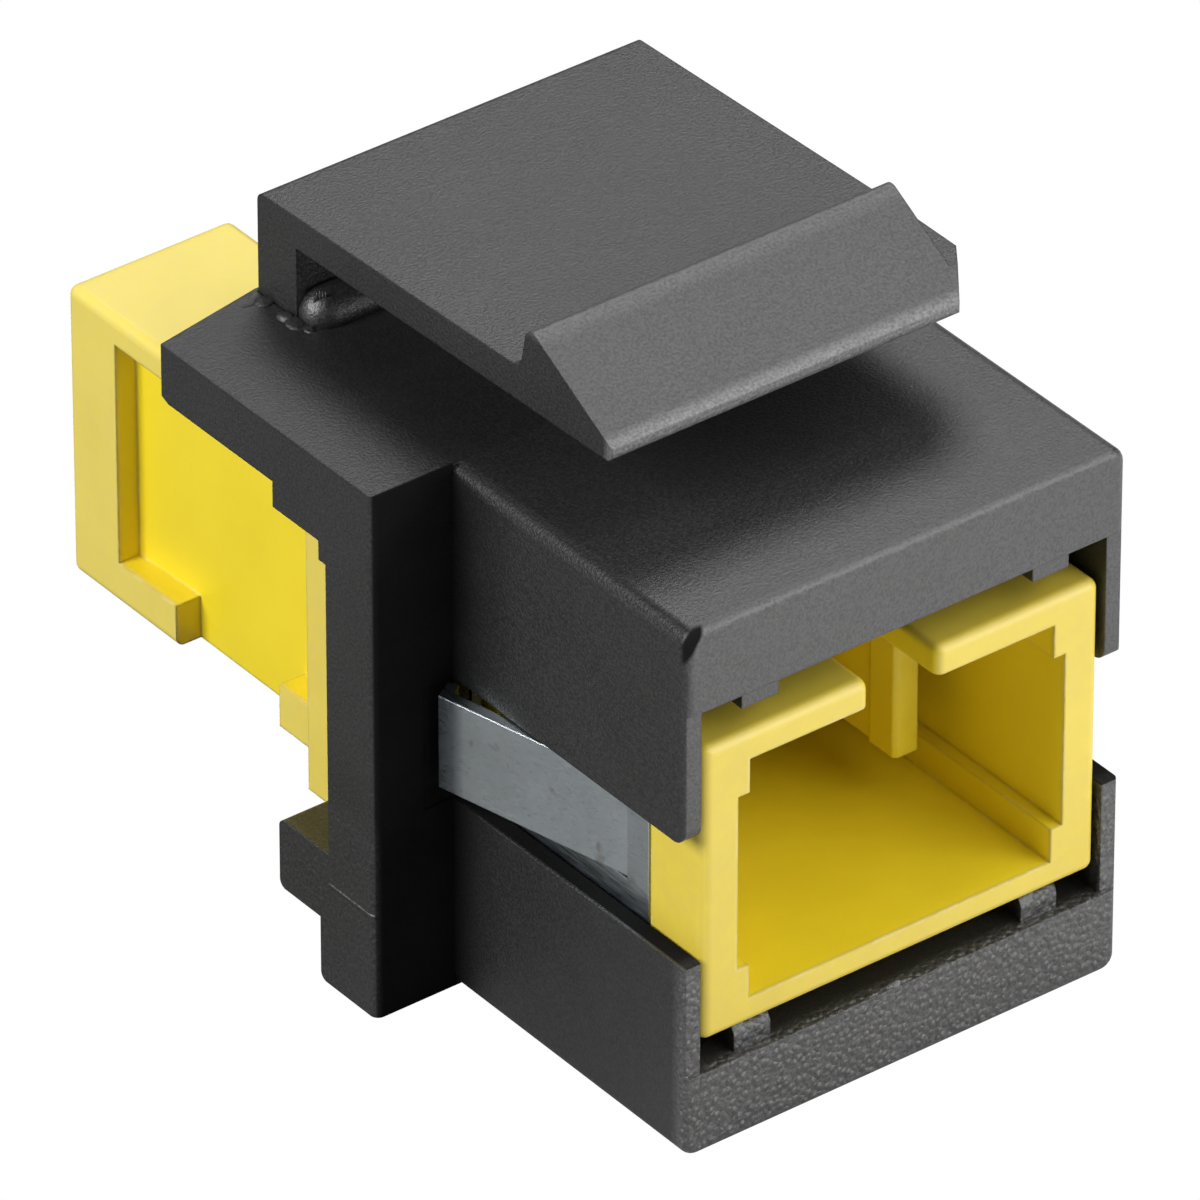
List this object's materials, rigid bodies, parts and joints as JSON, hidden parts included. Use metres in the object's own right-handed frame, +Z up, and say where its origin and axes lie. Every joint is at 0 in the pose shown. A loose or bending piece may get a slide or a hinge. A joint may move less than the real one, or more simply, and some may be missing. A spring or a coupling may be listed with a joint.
{
  "type": "fibre optic adapter",
  "caption": "Snap-in panel module that holds a square push-pull fibre coupler, with a sprung latch lever on top.",
  "frame": {"origin": "underside of the module, at the middle of the front box's width, in the plane where the flange stops on the panel", "axes": "+X across the module to the right as seen from the front, +Y from the front plug opening to the rear one, +Z up towards the latch lever"},
  "size_m": [0.0187, 0.0281, 0.0215],
  "materials": {
    "frame_plastic": "fine spark texture",
    "adapter_plastic": "satin",
    "insert_plastic": "satin",
    "sleeve_ceramic": "polished",
    "clip_steel": "rolled"
  },
  "bodies": {
    "housing": {"keystone_frame": "frame_plastic", "adapter_front_shell": "adapter_plastic", "adapter_rear_shell": "adapter_plastic", "front_latch_insert": "insert_plastic", "rear_latch_insert": "insert_plastic", "split_sleeve": "sleeve_ceramic", "retaining_clip": "clip_steel"},
    "lever": {"latch_lever": "frame_plastic"}
  },
  "joints": [
    {"name": "latch_flex", "type": "hinge", "parent": "housing", "child": "lever", "pos_m": [0, 0.0089, 0.0166], "axis": [1, 0, 0], "range_deg": [0, 8.5], "stiffness_Nm_per_rad": 0.3}
  ]
}
